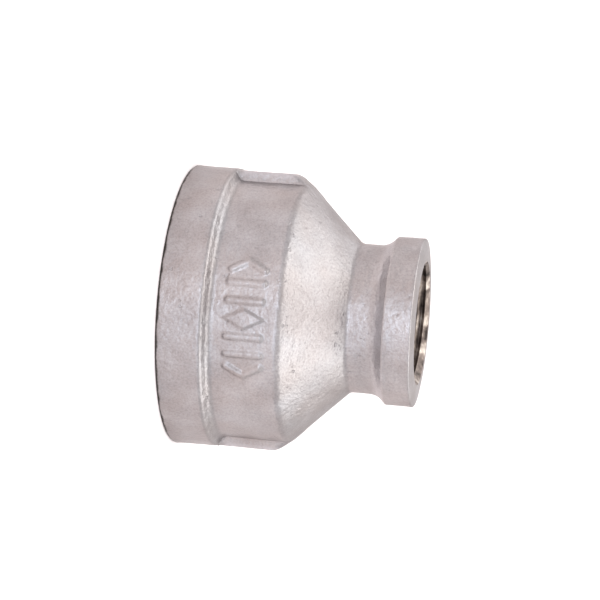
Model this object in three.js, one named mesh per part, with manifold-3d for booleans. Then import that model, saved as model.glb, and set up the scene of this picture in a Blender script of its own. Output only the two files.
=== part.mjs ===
// Concentric reducing socket, pipe size 1 1/2 by 3/4, cast in malleable iron.
// It is one casting: a large threaded socket, a cone and a small threaded socket on one axis.
// Millimetres, +Z up the axis. The origin is the centre of the large end face, on which it stands.

import * as THREE from 'three';
import { ParametricGeometry } from 'three/addons/geometries/ParametricGeometry.js';
import { mergeVertices } from 'three/addons/utils/BufferGeometryUtils.js';
import Module from 'manifold-3d';

// Overall length between the two end faces.
const LENGTH = 52.4;

// Internal taper pipe threads: root radius at the face, pitch, and depth of the thread.
const LARGE_THREAD = { majorRadius: 23.9, pitch: 2.309, depth: 19 };
const SMALL_THREAD = { majorRadius: 13.22, pitch: 1.814, depth: 15.6 };

// Walls outside the thread roots, of the large body and of the small neck.
const BODY_WALL = 4.8;
const NECK_WALL = 3.28;

// Large end: the band at the face stands proud of the body, which runs on up to the shoulder.
const LARGE_BAND_WIDTH = 9.5;
const LARGE_BAND_PROUD = 2.3;
const BODY_LENGTH = 16;

// Small end: the band at the face stands proud of the neck, which runs down to the foot of the cone.
const SMALL_BAND_WIDTH = 6.4;
const SMALL_BAND_PROUD = 2.1;
const NECK_LENGTH = 5.6;

// The small face is flat only round its mouth. Outside that land it falls away to the band's edge.
const SMALL_FACE_LAND = 2.6;
const SMALL_FACE_DROP = 0.45;

// Cast slopes and roundings of the outside.
const LARGE_STEP_RUN = 1.3;
const SMALL_STEP_RUN = 2.5;
const LARGE_END_ROUND = 0.6;
const SMALL_END_ROUND = 0.4;
const LARGE_EDGE_ROUND = 1.1;
const SMALL_EDGE_ROUND = 0.6;
const LARGE_STEP_FILLET = 1.7;
const SHOULDER_ROUND = 2.5;
const CONE_FOOT_FILLET = 1.6;
const SMALL_STEP_FILLET = 4.2;
const ROUND_STEPS = 2;

// Thread form, as shares of the pitch, with the flank's angle from square and the taper of 1 in 16.
const THREAD_HEIGHT_SHARE = 0.64;
const THREAD_ROOT_SHARE = 0.18;
const THREAD_FLANK_ANGLE = THREE.MathUtils.degToRad(27.5);
const RADIUS_TAPER = 1 / 32;

// Ends of the threads: chamfered mouth, run-out, plain land, and relief for the tap.
const MOUTH_CLEARANCE = 0.4;
const RUNOUT_TURNS = 0.75;
const PLAIN_LAND = 0.4;
const TAP_RELIEF = 0.25;

// Two ribs, opposite each other on the body, for a wrench to grip.
const RIB_PROUD = 1.9;
const RIB_WIDTH = 8;
const RIB_ROOTED = 2;
const RIB_EDGE = 0.5;
const RIB_SETBACK = 0.1;
const RIB_NOSE_ROUND = 3;

// Raised foundry tally on the body: bars, chevrons and a lozenge in one row.
const MARK_PROUD = 0.5;
const MARK_MARGIN = 3.15;
const MARK_SPACING = 3.8;
const MARK_STROKE = 1.3;
const LOZENGE_WIDTH = 4.2;
const CHEVRON_REACH = 2;
const MARK_ROW = ['chevronDown', 'bar', 'bar', 'lozenge', 'bar', 'bar', 'chevronUp'];

// Facets round the outside and round the bores.
const OUTSIDE_FACETS = 60;
const BORE_FACETS = 30;

// How far a cutter runs past the face that it cuts through.
const OVERCUT = 0.8;

// Radii of the outside, worked out from the threads and the walls.
const bodyRadius = LARGE_THREAD.majorRadius + BODY_WALL;
const neckRadius = SMALL_THREAD.majorRadius + NECK_WALL;
const largeBandRadius = bodyRadius + LARGE_BAND_PROUD;
const smallBandRadius = neckRadius + SMALL_BAND_PROUD;

// Heights of the outside, from the large face up and from the small face down.
const bodyStart = LARGE_BAND_WIDTH + LARGE_STEP_RUN;
const shoulder = LARGE_BAND_WIDTH + BODY_LENGTH;
const smallBandStart = LENGTH - SMALL_BAND_WIDTH;
const neckTop = smallBandStart - SMALL_STEP_RUN;
const coneFoot = neckTop - NECK_LENGTH;

// Height gained by the cone for each millimetre that its radius loses.
const coneRise = (coneFoot - shoulder) / (bodyRadius - neckRadius);

// How far inside the cone a rib's flat end lies, since the cone curves away from the rib's edges.
const ribSink = RIB_SETBACK + bodyRadius - Math.sqrt(bodyRadius ** 2 - (RIB_WIDTH / 2) ** 2);

const wasm = await Module();
wasm.setup();

// The triangles of an index that have three different corners.
function wholeTriangles(index) {
  const kept = [];
  for (let i = 0; i < index.length; i += 3) {
    const [a, b, c] = index.slice(i, i + 3);
    if (a !== b && b !== c && c !== a) kept.push(a, b, c);
  }
  return kept;
}

// A closed three.js geometry as a solid that can be joined and cut.
function solidOf(geometry) {
  const bare = geometry.clone();
  bare.deleteAttribute('normal');
  bare.deleteAttribute('uv');
  const merged = mergeVertices(bare);
  return new wasm.Manifold(new wasm.Mesh({
    numProp: 3,
    vertProperties: merged.attributes.position.array,
    triVerts: new Uint32Array(wholeTriangles(merged.index.array)),
  }));
}

// A solid's surface as a three.js geometry.
function geometryOf(solid) {
  const mesh = solid.getMesh();
  const geometry = new THREE.BufferGeometry();
  geometry.setAttribute('position', new THREE.BufferAttribute(mesh.vertProperties, 3));
  geometry.setIndex(new THREE.BufferAttribute(mesh.triVerts, 1));
  geometry.computeVertexNormals();
  return geometry;
}

// The points of a round corner. A rounding is limited to half of the shorter side next to it.
function roundCorner(before, corner, after, radius) {
  const toBefore = before.clone().sub(corner).normalize();
  const toAfter = after.clone().sub(corner).normalize();
  const halfAngle = Math.acos(toBefore.dot(toAfter)) / 2;
  const room = Math.min(before.distanceTo(corner), after.distanceTo(corner)) / 2;
  const setback = Math.min(radius / Math.tan(halfAngle), room);
  const toCentre = toBefore.clone().add(toAfter).setLength(setback / Math.cos(halfAngle));
  const centre = corner.clone().add(toCentre);
  const start = corner.clone().addScaledVector(toBefore, setback);
  const end = corner.clone().addScaledVector(toAfter, setback);
  const turn = Math.sign(start.clone().sub(centre).cross(end.clone().sub(centre)));
  const sweep = turn * (Math.PI - 2 * halfAngle);
  return Array.from({ length: ROUND_STEPS + 1 }, (_, step) => start.clone()
    .rotateAround(centre, (sweep * step) / ROUND_STEPS));
}

// An outline from corners written as [across, along, rounding].
function outline(corners) {
  const points = corners.map(([across, along]) => new THREE.Vector2(across, along));
  return corners.flatMap(([, , rounding], index) => {
    if (!rounding) return [points[index]];
    return roundCorner(points[index - 1], points[index], points[index + 1], rounding);
  });
}

// A solid of revolution about Z. Its outline starts and ends on the axis.
function turned(corners, facets) {
  const geometry = new THREE.LatheGeometry(outline(corners), facets);
  geometry.rotateX(Math.PI / 2);
  return solidOf(geometry);
}

// The turned outside of the casting, without ribs or marks.
function outside() {
  return turned([
    [0, 0, 0],
    [largeBandRadius, 0, LARGE_END_ROUND],
    [largeBandRadius, LARGE_BAND_WIDTH, LARGE_EDGE_ROUND],
    [bodyRadius, bodyStart, LARGE_STEP_FILLET],
    [bodyRadius, shoulder, SHOULDER_ROUND],
    [neckRadius, coneFoot, CONE_FOOT_FILLET],
    [neckRadius, neckTop, SMALL_STEP_FILLET],
    [smallBandRadius, smallBandStart, SMALL_EDGE_ROUND],
    [smallBandRadius, LENGTH - SMALL_FACE_DROP, SMALL_END_ROUND],
    [SMALL_THREAD.majorRadius + SMALL_FACE_LAND, LENGTH, 0],
    [0, LENGTH, 0],
  ], OUTSIDE_FACETS);
}

// Radial height of a thread, and the radius of its crests at a depth below the face.
const threadHeight = (thread) => thread.pitch * THREAD_HEIGHT_SHARE;
const crestRadius = (thread, depth) => thread.majorRadius - threadHeight(thread) - depth * RADIUS_TAPER;

// One turn of thread: how far along the pitch each corner lies, and its share of the height.
function threadCorners() {
  const flank = THREAD_HEIGHT_SHARE * Math.tan(THREAD_FLANK_ANGLE);
  return [[0, 0], [flank, 1], [flank + THREAD_ROOT_SHARE, 1], [2 * flank + THREAD_ROOT_SHARE, 0]];
}

// The wall of a threaded socket at a depth below its face, for a share of the thread's height.
function socketRadius(thread, depth, share) {
  const runout = RUNOUT_TURNS * thread.pitch;
  const fullness = THREE.MathUtils.clamp((thread.depth - depth) / runout, 0, 1);
  const chamfer = thread.majorRadius + MOUTH_CLEARANCE - depth;
  return Math.max(crestRadius(thread, depth) + share * fullness * threadHeight(thread), chamfer);
}

// The rows of a right-hand thread. Each gives its radius and height at a share of a full turn.
// Into is the way into the casting: up from the large face, down from the small one.
function threadRows(thread, face, into) {
  const ends = [face - into * OVERCUT, face + into * thread.depth];
  const lowest = Math.min(...ends);
  const highest = Math.max(...ends);
  const turns = Math.ceil((highest - lowest) / thread.pitch) + 1;
  const rows = [];
  for (let turn = -1; turn < turns; turn += 1) {
    for (const [along, share] of threadCorners()) {
      rows.push((u) => {
        const climb = lowest + (turn + u) * thread.pitch + along * thread.pitch;
        const height = THREE.MathUtils.clamp(climb, lowest, highest);
        return [socketRadius(thread, (height - face) * into, share), height];
      });
    }
  }
  return rows;
}

// The space inside one threaded socket, as a solid that ends on the axis at both ends.
function socket(thread, face, into) {
  const innerDepth = thread.depth + 2 * PLAIN_LAND;
  const inner = [crestRadius(thread, thread.depth), face + into * innerDepth];
  const plainRows = [() => inner, () => [0, inner[1]]];
  const mouthRow = () => [0, face - into * OVERCUT];
  const rows = into > 0
    ? [mouthRow, ...threadRows(thread, face, into), ...plainRows]
    : [...plainRows.reverse(), ...threadRows(thread, face, into), mouthRow];
  const stacks = rows.length - 1;
  return solidOf(new ParametricGeometry((u, v, target) => {
    const [radius, height] = rows[Math.round(v * stacks)](u);
    const angle = u * 2 * Math.PI;
    target.set(radius * Math.cos(angle), radius * Math.sin(angle), height);
  }, BORE_FACETS, stacks));
}

// The cored space between the sockets: the tap's relief, then a cone along the outer one.
function cavity() {
  const largeCrest = crestRadius(LARGE_THREAD, LARGE_THREAD.depth);
  const smallCrest = crestRadius(SMALL_THREAD, SMALL_THREAD.depth);
  const reliefRadius = largeCrest + threadHeight(LARGE_THREAD) + TAP_RELIEF;
  const reliefStart = LARGE_THREAD.depth + PLAIN_LAND + reliefRadius - largeCrest;
  const coneEnd = LENGTH - SMALL_THREAD.depth - PLAIN_LAND;
  const coneStart = Math.max(coneEnd - (reliefRadius - smallCrest) * coneRise, reliefStart);
  return turned([
    [0, LARGE_THREAD.depth, 0],
    [largeCrest - PLAIN_LAND, LARGE_THREAD.depth, 0],
    [reliefRadius, reliefStart, 0],
    [reliefRadius, coneStart, 0],
    [smallCrest - PLAIN_LAND, coneEnd + PLAIN_LAND * coneRise, 0],
    [0, coneEnd + PLAIN_LAND * coneRise, 0],
  ], BORE_FACETS);
}

// One wrench rib on the +X side. It grows out of the band's step, and its nose follows the cone.
function rib() {
  const ribRadius = bodyRadius + RIB_PROUD;
  const root = bodyRadius - RIB_ROOTED;
  const start = LARGE_BAND_WIDTH / 2;
  const nose = shoulder - (RIB_PROUD + ribSink) * coneRise;
  const tail = shoulder + (RIB_ROOTED - ribSink) * coneRise;
  const shape = new THREE.Shape(outline([
    [root, start, 0],
    [ribRadius, start, 0],
    [ribRadius, nose, RIB_NOSE_ROUND],
    [root, tail, 0],
  ]));
  const geometry = new THREE.ExtrudeGeometry(shape, {
    depth: RIB_WIDTH - 2 * RIB_EDGE,
    bevelSize: RIB_EDGE,
    bevelThickness: RIB_EDGE,
    bevelOffset: -RIB_EDGE,
    bevelSegments: 2,
  });
  geometry.translate(0, 0, RIB_EDGE - RIB_WIDTH / 2);
  geometry.rotateX(Math.PI / 2);
  return geometry;
}

// The outline of one of the tally's signs, with the row's direction across and the axis along.
function markOutline(kind) {
  const half = (shoulder - bodyStart) / 2 - MARK_MARGIN;
  const side = (kind === 'bar' ? MARK_STROKE : LOZENGE_WIDTH) / 2;
  if (kind === 'bar') return [[-side, -half], [side, -half], [side, half], [-side, half]];
  if (kind === 'lozenge') return [[0, -half], [side, 0], [0, half], [-side, 0]];
  const way = kind === 'chevronUp' ? 1 : -1;
  const front = (way * CHEVRON_REACH) / 2;
  const stroke = way * MARK_STROKE;
  return [[-front, -half], [front, 0], [-front, half],
    [-front - stroke, half], [front - stroke, 0], [-front - stroke, -half]];
}

// One raised sign on the -Y side of the body, turned to its place in the row.
function mark(kind, place) {
  const corners = markOutline(kind).map(([across, along]) => new THREE.Vector2(across, along));
  const geometry = new THREE.ExtrudeGeometry(new THREE.Shape(corners), {
    depth: 2 * MARK_PROUD,
    bevelEnabled: false,
  });
  geometry.rotateX(Math.PI / 2);
  geometry.translate(0, MARK_PROUD - bodyRadius, (bodyStart + shoulder) / 2);
  geometry.rotateZ((place * MARK_SPACING) / bodyRadius);
  return solidOf(geometry);
}

// The casting: outside, ribs and marks joined, then opened from both ends.
function casting() {
  let body = outside().add(solidOf(rib())).add(solidOf(rib().rotateZ(Math.PI)));
  MARK_ROW.forEach((kind, index) => {
    body = body.add(mark(kind, index - (MARK_ROW.length - 1) / 2));
  });
  return body
    .subtract(cavity())
    .subtract(socket(LARGE_THREAD, 0, 1))
    .subtract(socket(SMALL_THREAD, LENGTH, -1));
}

const zincCoatedIron = new THREE.MeshStandardMaterial({ color: 0xc8bfc0, roughness: 0.5, metalness: 0.75 });
const reducer = new THREE.Mesh(geometryOf(casting()), zincCoatedIron);
reducer.name = 'reducer_casting';

const group = new THREE.Group();
group.add(reducer);

export default group;
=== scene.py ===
# %% [markdown]
# # A concentric reducing socket in zinc coated iron
# This lesson builds a threaded pipe fitting: a wide socket, a cone and a narrow socket on one
# axis. The real thing is a single iron casting. It is poured in a sand mould, dipped in molten
# zinc, and then each end is bored and tapped with a taper thread. So the model is one closed
# mesh too, and its interest lies in soft cast corners, a lively metal skin and true threads.
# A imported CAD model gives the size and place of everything, and this script dresses it.

# %% Load the frame
import math

import bmesh
import bpy
import numpy as np
from mathutils import Matrix, Vector


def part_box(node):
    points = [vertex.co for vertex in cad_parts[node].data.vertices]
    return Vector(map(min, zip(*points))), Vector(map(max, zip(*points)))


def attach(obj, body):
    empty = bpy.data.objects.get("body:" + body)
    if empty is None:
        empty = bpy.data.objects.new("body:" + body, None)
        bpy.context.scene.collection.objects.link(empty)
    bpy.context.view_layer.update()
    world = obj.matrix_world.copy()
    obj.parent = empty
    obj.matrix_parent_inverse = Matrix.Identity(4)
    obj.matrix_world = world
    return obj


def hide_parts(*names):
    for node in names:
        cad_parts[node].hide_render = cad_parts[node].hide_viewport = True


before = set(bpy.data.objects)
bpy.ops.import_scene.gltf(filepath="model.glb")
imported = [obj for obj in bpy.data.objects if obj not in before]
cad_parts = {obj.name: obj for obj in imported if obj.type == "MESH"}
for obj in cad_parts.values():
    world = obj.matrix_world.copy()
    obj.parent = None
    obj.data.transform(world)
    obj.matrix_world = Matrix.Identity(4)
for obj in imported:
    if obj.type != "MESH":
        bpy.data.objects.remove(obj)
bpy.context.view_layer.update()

CASTING = "reducer_casting"
MM = 0.001
low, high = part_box(CASTING)
length = (high.z - low.z) / MM
large_band_radius = (high.x - low.x) / 2 / MM
print(f"the casting is {length:.1f} mm long and {2 * large_band_radius:.1f} mm across")

# %% [markdown]
# ## The outline
# Turned and cast parts start from half of their silhouette, as on a lathe drawing. Each corner
# has a radius from the axis, a height and a rounding, all in millimetres. The molten metal and
# the zinc leave no knife edges, so every corner of the outside is rounded. The wide body and the
# narrow neck each carry a thicker band at the face, which keeps the socket from splitting. The
# small face is flat only near its mouth: outside that land it falls away towards the band.

# %% Sizes of the outside
LARGE_BAND_PROUD = 2.3
LARGE_BAND_WIDTH = 9.5
LARGE_STEP_RUN = 1.3
BODY_LENGTH = 16.0
NECK_RADIUS = 16.5
SMALL_BAND_PROUD = 2.1
SMALL_BAND_WIDTH = 6.4
SMALL_STEP_RUN = 2.2
NECK_LENGTH = 5.9
SMALL_FACE_LAND = 15.82
SMALL_FACE_DROP = 0.45
FACE_RIM = 1.0

body_radius = large_band_radius - LARGE_BAND_PROUD
small_band_radius = NECK_RADIUS + SMALL_BAND_PROUD
body_start = LARGE_BAND_WIDTH + LARGE_STEP_RUN
shoulder = LARGE_BAND_WIDTH + BODY_LENGTH
small_band_start = length - SMALL_BAND_WIDTH
neck_top = small_band_start - SMALL_STEP_RUN
cone_foot = neck_top - NECK_LENGTH
cone_rise = (cone_foot - shoulder) / (body_radius - NECK_RADIUS)
print(f"the cone climbs {cone_rise:.2f} mm for each mm of radius it loses")

# Each corner is a radius from the axis, a height and a rounding.
OUTLINE = [
    (large_band_radius, 0.0, 0.6),
    (large_band_radius, LARGE_BAND_WIDTH, 1.1),
    (body_radius, body_start, 1.7),
    (body_radius, shoulder, 2.6),
    (NECK_RADIUS, cone_foot, 1.8),
    (NECK_RADIUS, neck_top, 3.8),
    (small_band_radius, small_band_start, 0.7),
    (small_band_radius, length - SMALL_FACE_DROP, 0.4),
    (SMALL_FACE_LAND, length, 8.0),
]


# %% [markdown]
# A corner is rounded by stepping back along both of its sides and joining the two points with a
# short arc. Long straight stretches are then cut into even steps, because the surface is pushed
# about later and needs points to push. The body gets the finest steps: it carries small relief.

# %% Rounded and refined outline
ARC_STEPS = 6
FINE_ROWS = 0.2
COARSE_ROWS = 0.9
RELIEF_ABOVE_SHOULDER = 2.2


def round_corner(before, corner, after, radius):
    """The points of an arc that replaces one corner of an outline."""
    before, corner, after = (np.array(p, float) for p in (before, corner, after))
    back = (before - corner) / np.linalg.norm(before - corner)
    on = (after - corner) / np.linalg.norm(after - corner)
    half = math.acos(float(np.clip(back @ on, -1, 1))) / 2
    room = min(np.linalg.norm(before - corner), np.linalg.norm(after - corner)) / 2
    setback = min(radius / math.tan(half), room)
    centre = corner + (back + on) / np.linalg.norm(back + on) * setback / math.cos(half)
    start, end = corner + back * setback - centre, corner + on * setback - centre
    sweep = math.copysign(math.pi - 2 * half, start[0] * end[1] - start[1] * end[0])
    turns = [Matrix.Rotation(sweep * i / ARC_STEPS, 2) for i in range(ARC_STEPS + 1)]
    return [tuple(np.array(turn) @ start + centre) for turn in turns]


def step_length(height):
    """How far apart the outline's points may be at a height, in millimetres."""
    relief_top = shoulder + RELIEF_ABOVE_SHOULDER
    return FINE_ROWS if LARGE_BAND_WIDTH < height < relief_top else COARSE_ROWS


def refine(points):
    """Splits each long stretch of an outline into even steps."""
    fine = [points[0]]
    for a, b in zip(points, points[1:]):
        gap = math.dist(a, b)
        pieces = max(1, math.ceil(gap / step_length((a[1] + b[1]) / 2)))
        start, run = np.array(a), np.array(b) - np.array(a)
        fine += [tuple(start + run * i / pieces) for i in range(1, pieces + 1)]
    return fine


large_face = (large_band_radius - FACE_RIM, 0.0)
small_face = (SMALL_FACE_LAND - FACE_RIM, length)
corners = [(*large_face, 0.0), *OUTLINE, (*small_face, 0.0)]
rough = [large_face]
for i in range(1, len(corners) - 1):
    rough += round_corner(corners[i - 1][:2], corners[i][:2], corners[i + 1][:2], corners[i][2])
rough.append(small_face)
outline = np.array(refine(rough))
print(f"the outline has {len(outline)} points")

# %% [markdown]
# ## Columns round the axis
# The outside is a grid: the outline's points are its rows, and these angles are its columns. Even
# columns would waste most of them on plain metal, so they are close together only where there is
# relief, in front of the raised signs and across the two wrench ribs.

# %% Angles of the columns
SIGNS_AT = -math.pi / 2
SIGNS_REACH = 13.2
RIB_REACH = 6.2
SIGN_STEP = 0.17
RIB_STEP = 0.24
PLAIN_STEP = 0.9


def from_axis(angle, middle):
    """How far an angle lies from another one, along the body's surface, in millimetres."""
    return body_radius * math.remainder(angle - middle, 2 * math.pi)


def column_step(angle):
    """The distance to the next column, in millimetres at the body's radius."""
    if abs(from_axis(angle, SIGNS_AT)) < SIGNS_REACH:
        return SIGN_STEP
    if min(abs(from_axis(angle, 0)), abs(from_axis(angle, math.pi))) < RIB_REACH:
        return RIB_STEP
    return PLAIN_STEP


angles = [0.0]
while angles[-1] < 2 * math.pi:
    angles.append(angles[-1] + column_step(angles[-1]) / body_radius)
angles = np.array(angles[:-1]) * (2 * math.pi / angles[-1])
print(f"{len(angles)} columns, {len(angles) * len(outline)} points on the outside")

# %% [markdown]
# ## Ribs and raised signs
# Two ribs on opposite sides give a wrench something to hold, and a row of foundry signs stands a
# little proud of the body. Both could be separate blocks joined by a boolean, but a boolean leaves
# hard seams where cast metal flows together. So they are written as heights over the body, and a
# smooth maximum joins them: it is the larger of two values, with a fillet where they cross.

# %% Smooth maximum and minimum
def smooth_max(a, b, width):
    """The larger of a and b, rounded where they are closer than width."""
    blend = np.maximum(width - np.abs(a - b), 0) / width
    return np.maximum(a, b) + blend * blend * width / 4


def smooth_min(a, b, width):
    """The smaller of a and b, rounded where they are closer than width."""
    return -smooth_max(-a, -b, width)


# %% [markdown]
# A rib is the smallest of three surfaces: its flat top, its two sloping sides, and a nose that
# follows the cone, so that the rib runs out softly at the shoulder. The sides slope because a
# pattern has to leave the sand without tearing it.

# %% The wrench ribs
RIB_PROUD = 1.9
RIB_WIDTH = 8.0
RIB_SETBACK = 0.2
RIB_DRAFT = 3.2
RIB_EDGE = 0.7
RIB_FILLET = 0.9
RIB_NOSE = 1.6
# Far from a rib the cosine nears zero and the flat top would run off to infinity, so it is held.
LEAST_COSINE = 0.5


def rib_radius(angle, height):
    """The radius of the nearer rib's skin, far inside the body away from the rib."""
    across = np.abs(body_radius * np.sin(angle))
    top = (body_radius + RIB_PROUD) / np.abs(np.cos(angle)).clip(LEAST_COSINE)
    side = body_radius + RIB_PROUD / 2 + (RIB_WIDTH / 2 - across) * RIB_DRAFT
    nose = body_radius + (shoulder - RIB_SETBACK - height) / cone_rise
    return smooth_min(smooth_min(top, side, RIB_EDGE), nose, RIB_NOSE)


print(f"each rib is {RIB_WIDTH:.0f} mm wide and stands {RIB_PROUD} mm off the body")


# %% [markdown]
# The signs are a bar, a lozenge and a chevron, repeated in one row. Each point of the body has a
# distance from the nearest sign's edge, negative inside and positive outside. A soft step turns
# that distance into a height, which is how a sign looks after sand, zinc and handling have worn it.

# %% The raised signs
SIGN_PROUD = 0.5
SIGN_MARGIN = 3.15
SIGN_SPACING = 3.8
SIGN_STROKE = 1.3
SIGN_EDGE = 0.5
LOZENGE_WIDTH = 4.2
CHEVRON_REACH = 2.0
SIGN_ROW = ("chevron", "bar", "bar", "lozenge", "bar", "bar", "chevron")

sign_half = (shoulder - body_start) / 2 - SIGN_MARGIN
sign_middle = (body_start + shoulder) / 2


def to_segment(x, y, a, b):
    """Distance of points from a straight stroke between a and b."""
    ax, ay, bx, by = *a, *b
    dx, dy = bx - ax, by - ay
    along = np.clip(((x - ax) * dx + (y - ay) * dy) / (dx * dx + dy * dy), 0, 1)
    return np.hypot(x - ax - along * dx, y - ay - along * dy)


def sign_distance(kind, side, x, y):
    """Distance of points from one sign's edge. side is -1 or 1 for the two ends of the row."""
    reach = sign_half - SIGN_STROKE / 2
    if kind == "bar":
        return to_segment(x, y, (0, -reach), (0, reach)) - SIGN_STROKE / 2
    if kind == "lozenge":
        slope = math.hypot(LOZENGE_WIDTH / 2, sign_half)
        return (np.abs(x) * sign_half + np.abs(y) * LOZENGE_WIDTH / 2 - LOZENGE_WIDTH / 2 * sign_half) / slope
    tip, tail = side * CHEVRON_REACH / 2, -side * CHEVRON_REACH / 2
    arms = [to_segment(x, y, (tail, way * reach), (tip, 0)) for way in (-1, 1)]
    return np.minimum(*arms) - SIGN_STROKE / 2


def sign_height(angle, height):
    """How far the signs stand proud at each point of the body."""
    x = body_radius * (np.mod(angle - SIGNS_AT + math.pi, 2 * math.pi) - math.pi)
    nearest = np.full(np.broadcast(angle, height).shape, SIGN_SPACING)
    for index, kind in enumerate(SIGN_ROW):
        place = index - (len(SIGN_ROW) - 1) / 2
        away = sign_distance(kind, math.copysign(1, place), x - place * SIGN_SPACING, height - sign_middle)
        nearest = np.minimum(nearest, away)
    step = np.clip(0.5 - nearest / SIGN_EDGE / 2, 0, 1)
    return SIGN_PROUD * step * step * (3 - 2 * step)


print(f"{len(SIGN_ROW)} signs, {2 * sign_half:.1f} mm tall and {SIGN_PROUD} mm proud")


# %% [markdown]
# ## An uneven skin
# Sand moulds and molten zinc leave a surface that is never quite round. A sum of many waves, each
# with its own direction and phase, gives soft random hills without any texture image. The numbers
# come from a seeded generator, so that every run makes the same casting.

# %% Waves in the surface
WAVES = 28
SPREAD_OF_SIZES = (0.7, 1.3)


def waviness(points, wavelength, seed):
    """A smooth random value from about -1 to 1 at each point, with hills of one size."""
    random = np.random.default_rng(seed)
    directions = random.normal(size=(WAVES, 3))
    directions /= np.linalg.norm(directions, axis=1)[:, None]
    directions *= random.uniform(*SPREAD_OF_SIZES, (WAVES, 1)) * 2 * math.pi / wavelength
    total = sum(np.cos(points @ d + random.uniform(0, 2 * math.pi)) for d in directions)
    return np.clip(total * math.sqrt(2 / WAVES) / 2, -1, 1)


print(f"each sort of hill is a sum of {WAVES} waves")

# %% [markdown]
# Now the whole outside can be worked out in one go. Ribs and signs are added to the turned wall,
# and the waves are taken off it, so the casting never grows past its true size. Hills of three
# sizes are used, each a few hundredths of a millimetre high. Near the two faces they fade out,
# because the faces are flat and other parts seat on them.

# %% The outside
# Each sort of hill has its size across and its height, in millimetres.
SKIN_WAVES = ((15.0, 0.045), (5.0, 0.030), (2.4, 0.018))
CALM_AT_FACES = 1.5
RIBS_END_ABOVE_SHOULDER = 3


def outside_points():
    """The grid of points of the outside, rows along the outline, columns round the axis."""
    radius, height = outline[:, :1], outline[:, 1:]
    wall = smooth_max(radius + 0 * angles, rib_radius(angles, height), RIB_FILLET)
    on_body = (height > LARGE_BAND_WIDTH) & (height < shoulder + RIBS_END_ABOVE_SHOULDER)
    wall = np.where(on_body, wall, radius + 0 * angles)
    wall = wall + sign_height(angles, height)
    plain = np.stack([wall * np.cos(angles), wall * np.sin(angles), height + 0 * angles], -1)
    uneven = 0
    for seed, (size, depth) in enumerate(SKIN_WAVES):
        uneven = uneven + depth * (waviness(plain, size, seed) - 1)
    from_faces = np.minimum(height, length - height)
    wall = wall + uneven * np.clip(from_faces / CALM_AT_FACES, 0, 1)
    return np.stack([wall * np.cos(angles), wall * np.sin(angles), height + 0 * angles], -1)


skin = outside_points()
print(f"the skin reaches {np.hypot(skin[..., 0], skin[..., 1]).max():.2f} mm from the axis")

# %% [markdown]
# ## The threads
# Pipe threads are cut on a slight cone, one part in sixteen, so that they jam tight and seal. A
# thread is one long helix. Drawing it as a grid works if the rows climb by one pitch in a full
# turn: row by row the surface is crest, flank, root and flank again, and the last column meets the
# first one a pitch higher. Points that would climb past a face are held at it, and merge there.

# %% Sizes of the bore
LARGE_THREAD = {"root": 23.9, "pitch": 2.309, "depth": 19.0}
SMALL_THREAD = {"root": 13.22, "pitch": 1.814, "depth": 15.6}
# These three are shares of the pitch.
THREAD_HEIGHT = 0.64
THREAD_ROOT = 0.18
THREAD_ROUNDING = 0.03
FLANK_ANGLE = math.radians(27.5)
# One in sixteen on the diameter is half of that on the radius.
TAPER = 1 / 32
MOUTH_CLEARANCE = 0.4
RUNOUT_TURNS = 0.75
PLAIN_LAND = 0.4
TAP_RELIEF = 0.25
BORE_COLUMNS = 144


def crest_radius(thread, depth):
    """The bore's radius at the thread's crests, at a depth below the face."""
    return thread["root"] - thread["pitch"] * THREAD_HEIGHT - depth * TAPER


for thread in (LARGE_THREAD, SMALL_THREAD):
    print(f"a thread of {thread['pitch']} mm pitch, {2 * crest_radius(thread, 0):.2f} mm across its crests")

# %% [markdown]
# One turn of a thread has eight rows: two close together at each end of each flank. The small gap
# between the two rounds the edge a little, as a worn tap does. Towards its inner end the thread
# gets shallower, because the tap starts with a few ground-down teeth, and at the face a chamfer
# opens the mouth so that the pipe finds its way in.

# %% Rows of a thread
def thread_phases():
    """Where the rows of one turn lie along the pitch, and how deep they are cut, from 0 to 1."""
    flank = THREAD_HEIGHT * math.tan(FLANK_ANGLE)
    root_end = flank + THREAD_ROOT
    slope = THREAD_ROUNDING / flank
    edges = [(0.0, 0, slope), (flank, 1 - slope, 1), (root_end, 1, 1 - slope), (root_end + flank, slope, 0)]
    rows = []
    for where, before, after in edges:
        rows += [(where - THREAD_ROUNDING, before), (where + THREAD_ROUNDING, after)]
    return rows


def thread_rows(thread, face, into):
    """Rows of (radius, height) round the bore. into is 1 for upwards from the face, -1 for downwards."""
    lowest, highest = sorted((face, face + into * thread["depth"]))
    share = np.linspace(0, 1, BORE_COLUMNS + 1)
    pitch, runout = thread["pitch"], RUNOUT_TURNS * thread["pitch"]
    rows = []
    for turn in range(-1, math.ceil((highest - lowest) / pitch) + 1):
        for along, deep in thread_phases():
            height = np.clip(lowest + (turn + share) * pitch + along * pitch, lowest, highest)
            depth = (height - face) * into
            full = np.clip((thread["depth"] - depth) / runout, 0, 1)
            radius = crest_radius(thread, depth) + deep * full * pitch * THREAD_HEIGHT
            rows.append((np.maximum(radius, thread["root"] + MOUTH_CLEARANCE - depth), height))
    return rows


large_rows = thread_rows(LARGE_THREAD, 0.0, 1)
small_rows = thread_rows(SMALL_THREAD, length, -1)
print(f"{len(large_rows)} rows in the large thread, {len(small_rows)} in the small one")


# %% [markdown]
# Between the threads lies the space left by the sand core. It starts with a little relief, where
# the tap ran out, and narrows in a cone that follows the outer one, so that the wall stays even.

# %% The whole way through
CORE_STEPS = (3, 4, 12)


def plain_row(radius, height):
    """A level row of the bore."""
    return np.full(BORE_COLUMNS + 1, radius), np.full(BORE_COLUMNS + 1, height)


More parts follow.
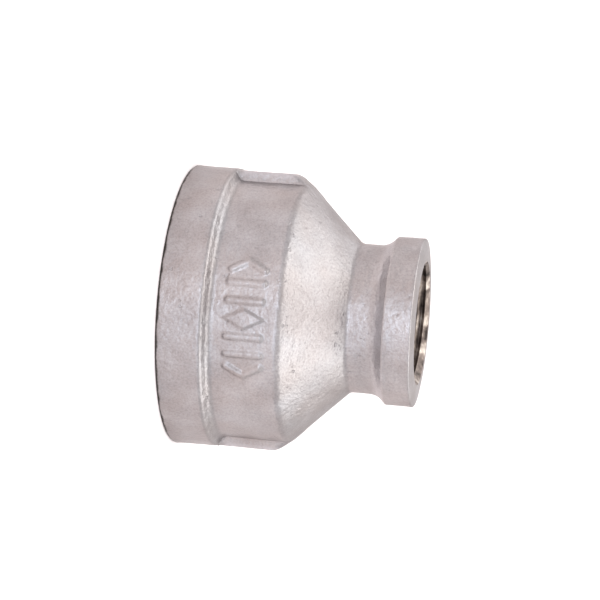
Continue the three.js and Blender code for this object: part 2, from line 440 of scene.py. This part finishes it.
def core_rows():
    """Rows of the cored space between the two threads."""
    large_crest = crest_radius(LARGE_THREAD, LARGE_THREAD["depth"])
    small_crest = crest_radius(SMALL_THREAD, SMALL_THREAD["depth"])
    relief = large_crest + LARGE_THREAD["pitch"] * THREAD_HEIGHT + TAP_RELIEF
    relief_start = LARGE_THREAD["depth"] + PLAIN_LAND + relief - large_crest
    cone_end = length - SMALL_THREAD["depth"] - PLAIN_LAND
    cone_start = cone_end - (relief - small_crest) * cone_rise
    stops = [(large_crest, LARGE_THREAD["depth"] + PLAIN_LAND), (relief, relief_start),
             (relief, cone_start), (small_crest, cone_end)]
    rows = [plain_row(*stops[0])]
    for (r0, z0), (r1, z1), count in zip(stops, stops[1:], CORE_STEPS):
        for i in range(1, count + 1):
            rows.append(plain_row(r0 + (r1 - r0) * i / count, z0 + (z1 - z0) * i / count))
    return rows


middle_rows = core_rows()
bore_rows = large_rows + middle_rows + small_rows
bore_angles = np.linspace(0, 2 * math.pi, BORE_COLUMNS + 1)
bore_sides = np.cos(bore_angles), np.sin(bore_angles)
bore = np.array([np.stack([r * bore_sides[0], r * bore_sides[1], z], -1) for r, z in bore_rows])
print(f"the bore has {len(bore_rows)} rows of {BORE_COLUMNS} columns")

# %% [markdown]
# ## One closed mesh
# Outside and bore become quads between neighbouring rows. Blender's Screw modifier would make them
# for a plain turned part, but here the rows aren't circles, so the quads are listed directly.

# %% Faces of the two grids
def grid_quads(rows, columns, first, closed):
    """Quads between the rows of a grid of points that starts at index first."""
    across = columns if closed else columns - 1
    return [
        (first + i * columns + j, first + i * columns + (j + 1) % columns,
         first + (i + 1) * columns + (j + 1) % columns, first + (i + 1) * columns + j)
        for i in range(rows - 1) for j in range(across)
    ]


columns = len(angles)
bore_columns = BORE_COLUMNS + 1
skin_count = skin.shape[0] * skin.shape[1]
skin_quads = grid_quads(len(outline), columns, 0, closed=True)
bore_quads = grid_quads(len(bore_rows), bore_columns, skin_count, closed=False)
print(f"{len(skin_quads)} quads outside, {len(bore_quads)} in the bore")

# %% [markdown]
# The two flat end faces join rings with different numbers of points. So a zip of triangles walks
# round both rings at once, and always steps on the ring that lags behind.

# %% The end faces
def zip_rings(ring_a, angles_a, ring_b, angles_b):
    """Triangles between two rings of points that both start at angle 0."""
    faces, i, j = [], 0, 0
    while i < len(ring_a) or j < len(ring_b):
        next_a = angles_a[i + 1] if i + 1 < len(ring_a) else 2 * math.pi
        next_b = angles_b[j + 1] if j + 1 < len(ring_b) else 2 * math.pi
        a, b = ring_a[i % len(ring_a)], ring_b[j % len(ring_b)]
        if j == len(ring_b) or (i < len(ring_a) and next_a <= next_b):
            i += 1
            faces.append((a, ring_a[i % len(ring_a)], b))
        else:
            j += 1
            faces.append((a, ring_b[j % len(ring_b)], b))
    return faces


rings = []
for skin_row, bore_row in ((0, 0), (len(outline) - 1, len(bore_rows) - 1)):
    outer_ring = [skin_row * columns + j for j in range(columns)]
    inner_ring = [skin_count + bore_row * bore_columns + j for j in range(BORE_COLUMNS)]
    rings += zip_rings(outer_ring, angles, inner_ring, bore_angles)
print(f"{len(rings)} triangles in the two end faces")

# %% [markdown]
# Each face carries the number of its finish: zinc outside, cut iron on the threads, and cored iron
# between them. The list of numbers follows the list of faces: outside, bore, then the end faces.

# %% Finishes of the faces
ZINC, CUT_IRON, CORED_IRON = 0, 1, 2

core_start = len(large_rows)
core_end = core_start + len(middle_rows) - 1
finish_of = [ZINC] * len(skin_quads)
for i in range(len(bore_rows) - 1):
    cored = core_start <= i < core_end
    finish_of += [CORED_IRON if cored else CUT_IRON] * BORE_COLUMNS
finish_of += [ZINC] * len(rings)

mesh = bpy.data.meshes.new(CASTING + "_skin")
points = np.concatenate([skin.reshape(-1, 3), bore.reshape(-1, 3)]) * MM
mesh.from_pydata(points.tolist(), [], skin_quads + bore_quads + rings)
mesh.polygons.foreach_set("material_index", finish_of)
print(f"{len(points)} points and {len(finish_of)} faces")

# %% [markdown]
# Merging points closer than a micrometre closes the seam of the threads, and leaves one watertight
# solid, as the real casting is. The shading is smooth except where two faces meet at a real edge,
# such as the crest of a thread. The count of open edges must be zero: it proves that the seam is
# closed.

# %% Close the seam and smooth the shading
MERGE_DISTANCE = 1e-6
SHARP_ANGLE = math.radians(38)

work = bmesh.new()
work.from_mesh(mesh)
bmesh.ops.remove_doubles(work, verts=work.verts, dist=MERGE_DISTANCE)
bmesh.ops.dissolve_degenerate(work, edges=work.edges, dist=MERGE_DISTANCE)
bmesh.ops.recalc_face_normals(work, faces=work.faces)
open_edges = sum(1 for edge in work.edges if len(edge.link_faces) != 2)
triangles = sum(len(face.verts) - 2 for face in work.faces)
volume = work.calc_volume()
for face in work.faces:
    face.smooth = True
for edge in work.edges:
    edge.smooth = len(edge.link_faces) != 2 or edge.calc_face_angle(0) < SHARP_ANGLE
work.to_mesh(mesh)
work.free()
casting = bpy.data.objects.new("casting", mesh)
bpy.context.scene.collection.objects.link(casting)
print(f"{triangles} triangles, {open_edges} open edges, {volume / MM**3 / 1000:.1f} cubic centimetres")

# %% [markdown]
# ## Finishes from nodes
# Every finish is a small tree of nodes, worked out at each point of the surface, so it has no image
# and no seam. Two helpers keep the trees short: one makes a material with its shader, and one adds
# a node and links its inputs.

# %% A material and its nodes
def new_material(name):
    """A material with its Principled shader, ready for nodes."""
    made = bpy.data.materials.new(name)
    made.use_nodes = True
    tree = made.node_tree
    tree.nodes.clear()
    shader = tree.nodes.new("ShaderNodeBsdfPrincipled")
    output = tree.nodes.new("ShaderNodeOutputMaterial")
    tree.links.new(shader.outputs["BSDF"], output.inputs["Surface"])
    return made, tree, shader


def add(tree, kind, inputs=(), **settings):
    """A new node with its settings and its inputs, which are values or other nodes' outputs."""
    node = tree.nodes.new(kind)
    for key, value in settings.items():
        setattr(node, key, value)
    for key, value in dict(inputs).items():
        if isinstance(value, bpy.types.NodeSocket):
            tree.links.new(value, node.inputs[key])
        else:
            node.inputs[key].default_value = value
    return node


# %% [markdown]
# The other helpers name what the nodes do here: noise of a given size in millimetres, a colour
# ramp, a change of range, a fade across an edge of the casting, a sum or product, and a mix.

# %% Noise, ramps and masks
# Nearly all values of a noise lie in this range.
USUAL_NOISE = (0.3, 0.7)


def noise(tree, place, size_mm, detail=3.0, roughness=0.5):
    """Noise whose grains are about size_mm across. Returns its value, from 0 to 1."""
    values = {"Vector": place, "Scale": 1 / (size_mm * MM), "Detail": detail, "Roughness": roughness}
    return add(tree, "ShaderNodeTexNoise", values).outputs["Fac"]


def ramp(tree, value, stops):
    """A colour ramp through (position, colour) stops."""
    node = add(tree, "ShaderNodeValToRGB", {"Fac": value})
    band = node.color_ramp
    while len(band.elements) < len(stops):
        band.elements.new(1.0)
    for element, (position, colour) in zip(band.elements, stops):
        element.position = position
        element.color = (*colour, 1.0)
    return node.outputs["Color"]


def remap(tree, value, low_in, high_in, low_out, high_out):
    """A value moved from one range to another, and held inside it."""
    values = {"Value": value, "From Min": low_in, "From Max": high_in}
    values |= {"To Min": low_out, "To Max": high_out}
    return add(tree, "ShaderNodeMapRange", values).outputs["Result"]


def fade(tree, value, edge, offsets, low_out=0.0, high_out=1.0):
    """A mask that changes across an edge of the casting. All in millimetres."""
    start, end = offsets
    return remap(tree, value, (edge + start) * MM, (edge + end) * MM, low_out, high_out)


def maths(tree, operation, *values):
    """The result of one sum, product or other operation."""
    return add(tree, "ShaderNodeMath", dict(enumerate(values)), operation=operation).outputs[0]


def mixed(tree, share, first, second, blend="MIX"):
    """Two colours mixed by a share."""
    node = add(tree, "ShaderNodeMix", data_type="RGBA", blend_type=blend)
    for index, value in ((0, share), (6, first), (7, second)):
        if isinstance(value, bpy.types.NodeSocket):
            tree.links.new(value, node.inputs[index])
        else:
            node.inputs[index].default_value = value
    return node.outputs[2]


# %% [markdown]
# ## Zinc skin
# Dipped zinc is a satin metal, not grey paint: its roughness and tone drift from place to place.
# Three layers of noise make the even part of it. Broad clouds shift between a warm and a cool
# grey, a finer grain makes the sparkle of tiny zinc crystals, and sparse pits mark where gas left
# the metal.

# %% Tones of the zinc
ZINC_TONES = [(0.3, (0.308, 0.276, 0.274)), (0.5, (0.344, 0.312, 0.310)), (0.72, (0.392, 0.362, 0.364))]
WARM_TO_COOL = [(0.38, (1.0, 0.985, 0.975)), (0.62, (0.965, 0.985, 1.0))]
GRAIN_TONES = [(0.34, (0.84, 0.83, 0.83)), (0.5, (1.0, 1.0, 1.0)), (0.68, (1.12, 1.12, 1.12))]
CLOUD_SIZE = 6.0
WARM_PATCH_SIZE = 13.0
GRAIN_SIZE = 0.45
GRAIN_SHARE = 0.8
PIT_SPACING = 1.9
PIT_EDGES = (0.26, 0.31)
PIT_SHARE = 0.35
PIT_COLOUR = (0.26, 0.24, 0.24, 1.0)


def even_zinc(tree, place, grain, pits):
    """The colour of zinc that nothing has touched since the bath."""
    clouds = noise(tree, place, CLOUD_SIZE, detail=4.0)
    warm = noise(tree, place, WARM_PATCH_SIZE, detail=2.0)
    tone, tint = ramp(tree, clouds, ZINC_TONES), ramp(tree, warm, WARM_TO_COOL)
    colour = mixed(tree, 1.0, tone, tint, "MULTIPLY")
    speckled = mixed(tree, 1.0, colour, ramp(tree, grain, GRAIN_TONES), "MULTIPLY")
    colour = mixed(tree, GRAIN_SHARE, colour, speckled)
    return mixed(tree, remap(tree, pits, 0.0, 1.0, 0.0, PIT_SHARE), colour, PIT_COLOUR)


# %% [markdown]
# Then come the places where light and shade are painted into the skin's colour. The hollow below the small
# band is painted brighter: painted light, in place of the light its fillet would mirror. The tops of the
# ribs are painted lighter: a painted sheen that makes up for their dim grazing reflection. At the rim of
# the large face a ragged dark line is painted shadow, where the casting stands on the table. Each is a mask
# made from the height or the width, so it sits on the metal and stays there from every side.

# %% Painted light, painted sheen and painted shadow
# Painted light: brighter colour in the hollow below the small band, for the light its fillet would mirror.
PAINTED_LIGHT_FROM_NECK = (-0.5, 0.7)
PAINTED_LIGHT_TO_BAND = (-0.35, 0.1)
PAINTED_LIGHT_GAIN = (1.30, 1.33, 1.35, 1.0)
# Painted sheen: lighter rib tops, making up for the dim reflection along their grazing sides.
SHEEN_OFF_BODY = (0.7, 1.5)
SHEEN_ABOVE_STEP = (0.0, 0.8)
PAINTED_SHEEN_COLOUR = (0.56, 0.53, 0.56, 1.0)
PAINTED_SHEEN_SHARE = 0.3
# Painted shadow: a ragged dark line at the rim of the large face, where it stands on the table.
RIM_SHADOW_COLOUR = (0.045, 0.038, 0.034, 1.0)
RIM_SHADOW_RAGGED_SIZE = 2.5
RIM_SHADOW_RAGGED_REACH = 0.2
RIM_SHADOW_HEIGHTS = (0.30, 0.65)


def changed_zinc(tree, place, colour):
    """The colour with painted light in the hollow, a painted sheen on the ribs and a painted rim shadow laid
    over it.
    """
    axes = add(tree, "ShaderNodeSeparateXYZ", {"Vector": place}).outputs
    # Painted light in the hollow below the small band.
    into_hollow = fade(tree, axes["Z"], neck_top, PAINTED_LIGHT_FROM_NECK)
    before_band = fade(tree, axes["Z"], small_band_start, PAINTED_LIGHT_TO_BAND, 1.0, 0.0)
    painted_light = maths(tree, "MULTIPLY", into_hollow, before_band)
    colour = mixed(tree, painted_light, colour, mixed(tree, 1.0, colour, PAINTED_LIGHT_GAIN, "MULTIPLY"))
    # Painted sheen on the tops of the ribs.
    out = maths(tree, "ABSOLUTE", axes["X"])
    on_rib = fade(tree, out, body_radius, SHEEN_OFF_BODY, 0.0, PAINTED_SHEEN_SHARE)
    off_band = fade(tree, axes["Z"], body_start, SHEEN_ABOVE_STEP)
    colour = mixed(tree, maths(tree, "MULTIPLY", on_rib, off_band), colour, PAINTED_SHEEN_COLOUR)
    # Painted shadow along the rim of the large face.
    reach = RIM_SHADOW_RAGGED_REACH * MM
    ragged = remap(tree, noise(tree, place, RIM_SHADOW_RAGGED_SIZE, detail=4.0), *USUAL_NOISE, -reach, reach)
    rim_shadow = fade(tree, maths(tree, "ADD", axes["Z"], ragged), 0.0, RIM_SHADOW_HEIGHTS, 1.0, 0.0)
    return mixed(tree, rim_shadow, colour, RIM_SHADOW_COLOUR)


# %% [markdown]
# Bumps do the rest. The grain is a fine bump, stronger on the cone, where the zinc ran off and left
# coarser crystals. A softer peel covers everything, and each pit is a dent. Bumps only bend the
# light: the shape stays as it is, which is right for roughness of a few hundredths of a millimetre.

# %% The zinc
ZINC_METALLIC = 0.74
ZINC_EDGE_TINT = (0.62, 0.59, 0.59, 1.0)
ZINC_ROUGHNESS = (0.30, 0.40)
GLOSS_PATCH_SIZE = 3.0
CONE_START = (-0.3, 0.6)
CONE_END = (-0.6, 0.6)
GRAIN_BUMP = 0.16
GRAIN_BUMP_ON_CONE = 0.42
GRAIN_DEPTH = 0.2
PEEL_BUMP = 0.45
PEEL_SIZE = 1.1
PEEL_DEPTH = 0.4
DENT_BUMP = 0.6
DENT_DEPTH = 0.2


def zinc_bumps(tree, place, grain, pits):
    """The normal after grain, peel and dents."""
    height = add(tree, "ShaderNodeSeparateXYZ", {"Vector": place}).outputs["Z"]
    above_body = fade(tree, height, shoulder, CONE_START)
    below_neck = fade(tree, height, cone_foot, CONE_END, 1.0, 0.0)
    on_cone = maths(tree, "MULTIPLY", above_body, below_neck)
    strength = remap(tree, on_cone, 0.0, 1.0, GRAIN_BUMP, GRAIN_BUMP_ON_CONE)
    fine = add(tree, "ShaderNodeBump", {"Height": grain, "Strength": strength, "Distance": GRAIN_DEPTH * MM})
    hills = noise(tree, place, PEEL_SIZE, detail=4.0)
    peel = {"Height": hills, "Strength": PEEL_BUMP, "Distance": PEEL_DEPTH * MM, "Normal": fine.outputs[0]}
    peel = add(tree, "ShaderNodeBump", peel)
    dents = {"Height": pits, "Strength": DENT_BUMP, "Distance": DENT_DEPTH * MM, "Normal": peel.outputs[0]}
    return add(tree, "ShaderNodeBump", dents, invert=True).outputs[0]


def zinc_material():
    """Satin hot-dip zinc."""
    made, tree, shader = new_material("zinc_skin")
    place = add(tree, "ShaderNodeTexCoord").outputs["Object"]
    grain = noise(tree, place, GRAIN_SIZE, detail=3.0, roughness=0.6)
    pits = remap(tree, noise(tree, place, PIT_SPACING, detail=2.0), *PIT_EDGES, 1.0, 0.0)
    colour = changed_zinc(tree, place, even_zinc(tree, place, grain, pits))
    roughness = remap(tree, noise(tree, place, GLOSS_PATCH_SIZE), *USUAL_NOISE, *ZINC_ROUGHNESS)
    tree.links.new(colour, shader.inputs["Base Color"])
    tree.links.new(roughness, shader.inputs["Roughness"])
    tree.links.new(zinc_bumps(tree, place, grain, pits), shader.inputs["Normal"])
    shader.inputs["Metallic"].default_value = ZINC_METALLIC
    shader.inputs["Specular Tint"].default_value = ZINC_EDGE_TINT
    return made


zinc = zinc_material()
print("the zinc has", len(zinc.node_tree.nodes), "nodes")

# %% [markdown]
# ## Cut iron
# The threads are cut after the zinc bath, so they are uncoated iron: darker than the zinc, browner from
# cutting oil, and ringed by the tool. Their tones go darker still, a painted shade that stands in for the
# shadow deep inside the bore. The rings are the same noise squashed flat, so that it changes quickly
# along the axis and slowly across it.

# %% The iron of the threads
# Partly painted shade: the darkest tones stand in for the shadow deep inside the bore.
OIL_AND_SHADE_TONES = [(0.32, (0.04, 0.03, 0.026)), (0.5, (0.19, 0.148, 0.13)), (0.68, (0.50, 0.43, 0.38))]
OILY_ROUGHNESS = (0.6, 0.36)
CUT_METALLIC = 0.85
STAIN_SIZE = 3.0
RING_SIZE = 0.12
RING_STRETCH = (0.15, 0.15, 1.0)
RING_BUMP = 0.25
RING_DEPTH = 0.1


def cut_iron_material():
    """Freshly tapped iron with oil stains, painted shade and fine tool rings."""
    made, tree, shader = new_material("cut_iron")
    place = add(tree, "ShaderNodeTexCoord").outputs["Object"]
    stain = noise(tree, place, STAIN_SIZE, detail=4.0)
    tree.links.new(ramp(tree, stain, OIL_AND_SHADE_TONES), shader.inputs["Base Color"])
    tree.links.new(remap(tree, stain, *USUAL_NOISE, *OILY_ROUGHNESS), shader.inputs["Roughness"])
    shader.inputs["Metallic"].default_value = CUT_METALLIC
    squash = add(tree, "ShaderNodeMapping", {"Vector": place, "Scale": RING_STRETCH})
    rings = noise(tree, squash.outputs["Vector"], RING_SIZE, detail=2.0)
    bump = {"Height": rings, "Strength": RING_BUMP, "Distance": RING_DEPTH * MM}
    tree.links.new(add(tree, "ShaderNodeBump", bump).outputs["Normal"], shader.inputs["Normal"])
    return made


cut_iron = cut_iron_material()
print("the cut iron has", len(cut_iron.node_tree.nodes), "nodes")

# %% [markdown]
# ## Cored iron
# The space between the threads was shaped by a core of sand and never saw a tool. It kept its zinc,
# but it is rough and dull, so its noise drives the colour, the gloss and the bump together.

# %% The iron of the core
CORED_TONES = [(0.3, (0.10, 0.09, 0.086)), (0.7, (0.26, 0.24, 0.235))]
CORED_ROUGHNESS = (0.75, 0.55)
CORED_METALLIC = 0.7
SAND_SIZE = 0.7
SAND_BUMP = 0.6
SAND_DEPTH = 0.4


def cored_iron_material():
    """Dull zinc over rough sand-cored iron."""
    made, tree, shader = new_material("cored_iron")
    place = add(tree, "ShaderNodeTexCoord").outputs["Object"]
    sand = noise(tree, place, SAND_SIZE, detail=5.0, roughness=0.6)
    tree.links.new(ramp(tree, sand, CORED_TONES), shader.inputs["Base Color"])
    tree.links.new(remap(tree, sand, *USUAL_NOISE, *CORED_ROUGHNESS), shader.inputs["Roughness"])
    shader.inputs["Metallic"].default_value = CORED_METALLIC
    bump = {"Height": sand, "Strength": SAND_BUMP, "Distance": SAND_DEPTH * MM}
    tree.links.new(add(tree, "ShaderNodeBump", bump).outputs["Normal"], shader.inputs["Normal"])
    return made


cored_iron = cored_iron_material()
print("the cored iron has", len(cored_iron.node_tree.nodes), "nodes")

# %% [markdown]
# ## Dressing the part
# The three finishes go on the casting in the order of the numbers that its faces carry. Then the
# casting is tied to the part's only body, and it takes the place of the plain CAD shape.

# %% Dress the casting
for finish in (zinc, cut_iron, cored_iron):
    casting.data.materials.append(finish)

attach(casting, "root")
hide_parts(CASTING)
print("the casting carries", len(casting.data.materials), "finishes")

# %% [markdown]
# ## Table
# The fitting stands on a white table, so large that its edge never shows. It glows a little by
# itself and the light does the rest, so that it turns plain white around the metal.

# %% The table
TABLE_HALF = 60.0
TABLE_COLOUR = (0.72, 0.66, 0.655, 1.0)
TABLE_GLOW_COLOUR = (1.0, 0.945, 0.94, 1.0)
TABLE_GLOW = 0.22
TABLE_ROUGHNESS = 0.8

table_mesh = bpy.data.meshes.new("table")
table_corners = [(-TABLE_HALF, -TABLE_HALF, 0), (TABLE_HALF, -TABLE_HALF, 0),
                 (TABLE_HALF, TABLE_HALF, 0), (-TABLE_HALF, TABLE_HALF, 0)]
table_mesh.from_pydata(table_corners, [], [(0, 1, 2, 3)])
table = bpy.data.objects.new("table", table_mesh)
bpy.context.scene.collection.objects.link(table)
white, _, white_shader = new_material("white_table")
white_shader.inputs["Base Color"].default_value = TABLE_COLOUR
white_shader.inputs["Emission Color"].default_value = TABLE_GLOW_COLOUR
white_shader.inputs["Emission Strength"].default_value = TABLE_GLOW
white_shader.inputs["Roughness"].default_value = TABLE_ROUGHNESS
table_mesh.materials.append(white)
print(f"the table is {2 * TABLE_HALF:.0f} m across")

# %% [markdown]
# ## Light
# Metal shows what it mirrors, so each light has one surface to fill. A slope of the cone mirrors a
# panel high on its own side. The upright walls mirror a low, wide window in front, and a small lamp
# in the middle of it puts thin highlights into the fillets. The window and the lamp are a little
# blue, as daylight is beside warm metal.

# %% The lights
middle = Vector((0, 0, length / 2 * MM))


def area_light(name, azimuth, elevation, distance, width, height, radiance, colour):
    """A flat soft light that looks at the casting. Azimuth 0 is in front, 90 on the right."""
    data = bpy.data.lights.new(name, "AREA")
    data.shape = "RECTANGLE"
    data.size, data.size_y = width, height
    data.energy = radiance * math.pi * width * height
    data.color = colour
    light = bpy.data.objects.new(name, data)
    turn, rise = math.radians(azimuth), math.radians(elevation)
    level = math.cos(rise)
    towards = Vector((math.sin(turn) * level, -math.cos(turn) * level, math.sin(rise)))
    light.location = middle + towards * distance
    light.rotation_euler = towards.to_track_quat("Z", "Y").to_euler()
    light.visible_camera = False
    bpy.context.scene.collection.objects.link(light)


WHITE = (1.0, 1.0, 1.0)
COOL = (0.74, 0.87, 1.0)
CLEAN = (0.95, 1.0, 0.99)
# Name, azimuth, elevation, distance, width, height, radiance and colour, in degrees and metres.
LIGHTS = (
    ("left_panel", -98, 62, 0.9, 0.65, 0.65, 2.0, CLEAN),
    ("right_panel", 98, 62, 0.9, 0.65, 0.65, 2.45, CLEAN),
    ("left_back_panel", -138, 30, 0.9, 0.5, 0.5, 0.9, WHITE),
    ("top_panel", 0, 84, 0.9, 0.5, 0.5, 0.9, WHITE),
    ("front_lamp", -4.5, 5, 0.8, 0.3, 0.26, 2.9, COOL),
    ("low_window", 3, 3, 0.8, 1.2, 0.36, 1.95, COOL),
)
for light in LIGHTS:
    area_light(*light)
print(len(LIGHTS), "lights stand round the casting")

# %% [markdown]
# The rest of what the metal mirrors is the room. Its walls are pale and a little warm, and brighter
# towards the ceiling. The side in front is greyer half way up, where the operator stands, and that
# gives the cast edges their soft dark outlines.

# %% The room
WALL_TONES = [(0.0, (0.70, 0.67, 0.668)), (0.25, (0.70, 0.672, 0.668)),
              (0.45, (0.92, 0.92, 0.92)), (1.0, (1.0, 1.0, 0.99))]
FRONT_TONES = [(0.0, (0.70, 0.70, 0.72)), (0.22, (0.67, 0.67, 0.69)), (0.42, (0.66, 0.66, 0.67)),
               (0.68, (0.66, 0.66, 0.67)), (0.86, (1.0, 1.0, 0.99))]
FRONT_TO_BACK = (-0.1, 0.35)
ROOM_STRENGTH = 1.5

world = bpy.data.worlds.new("studio")
world.use_nodes = True
room = world.node_tree
sky = room.nodes["Background"]
direction = add(room, "ShaderNodeTexCoord").outputs["Generated"]
axes = add(room, "ShaderNodeSeparateXYZ", {"Vector": direction}).outputs
walls = ramp(room, axes["Z"], WALL_TONES)
front = ramp(room, axes["Z"], FRONT_TONES)
behind = remap(room, axes["Y"], *FRONT_TO_BACK, 0.0, 1.0)
room.links.new(mixed(room, behind, front, walls), sky.inputs["Color"])
sky.inputs["Strength"].default_value = ROOM_STRENGTH
bpy.context.scene.world = world
bpy.context.scene.view_settings.view_transform = "Standard"
print("the room has", len(room.nodes), "nodes")

# %% [markdown]
# ## Camera
# The camera looks from just above the table, slightly towards the small end, and its view is
# turned on its side, so that the fitting seems to lie down. The roll is built straight into the
# camera's own axes: its right side points up the fitting. A long lens from nearly half a metre
# keeps the near and far edges close in size, as a product view does.

# %% The camera
CAMERA_AZIMUTH = math.radians(-4.5)
CAMERA_ELEVATION = math.radians(9.28)
CAMERA_ROLL = math.radians(4.76)
CAMERA_DISTANCE = 0.443
FOCAL_SHARE = 3.34
SENSOR_WIDTH = 36
AIM_RIGHT = -0.00097
AIM_UP = 0.00296

back = Vector((
    math.sin(CAMERA_AZIMUTH) * math.cos(CAMERA_ELEVATION),
    -math.cos(CAMERA_AZIMUTH) * math.cos(CAMERA_ELEVATION),
    math.sin(CAMERA_ELEVATION),
))
level_right = Vector((0, 0, 1)).cross(back).normalized()
level_up = back.cross(level_right)
view_right = level_up * math.cos(CAMERA_ROLL) - level_right * math.sin(CAMERA_ROLL)
view_up = -level_up * math.sin(CAMERA_ROLL) - level_right * math.cos(CAMERA_ROLL)

camera_data = bpy.data.cameras.new("camera")
camera_data.sensor_width = SENSOR_WIDTH
camera_data.lens = FOCAL_SHARE * camera_data.sensor_width
camera_data.clip_start = 0.01
camera = bpy.data.objects.new("camera", camera_data)
bpy.context.scene.collection.objects.link(camera)
eye = middle + back * CAMERA_DISTANCE
aim = middle + view_right * AIM_RIGHT + view_up * AIM_UP
away = (eye - aim).normalized()
side = view_up.cross(away).normalized()
facing = Matrix((side, away.cross(side), away)).transposed().to_4x4()
camera.matrix_world = Matrix.Translation(eye) @ facing
bpy.context.scene.camera = camera
print("the camera is", round(CAMERA_DISTANCE * 1000), "mm from the middle of the casting")
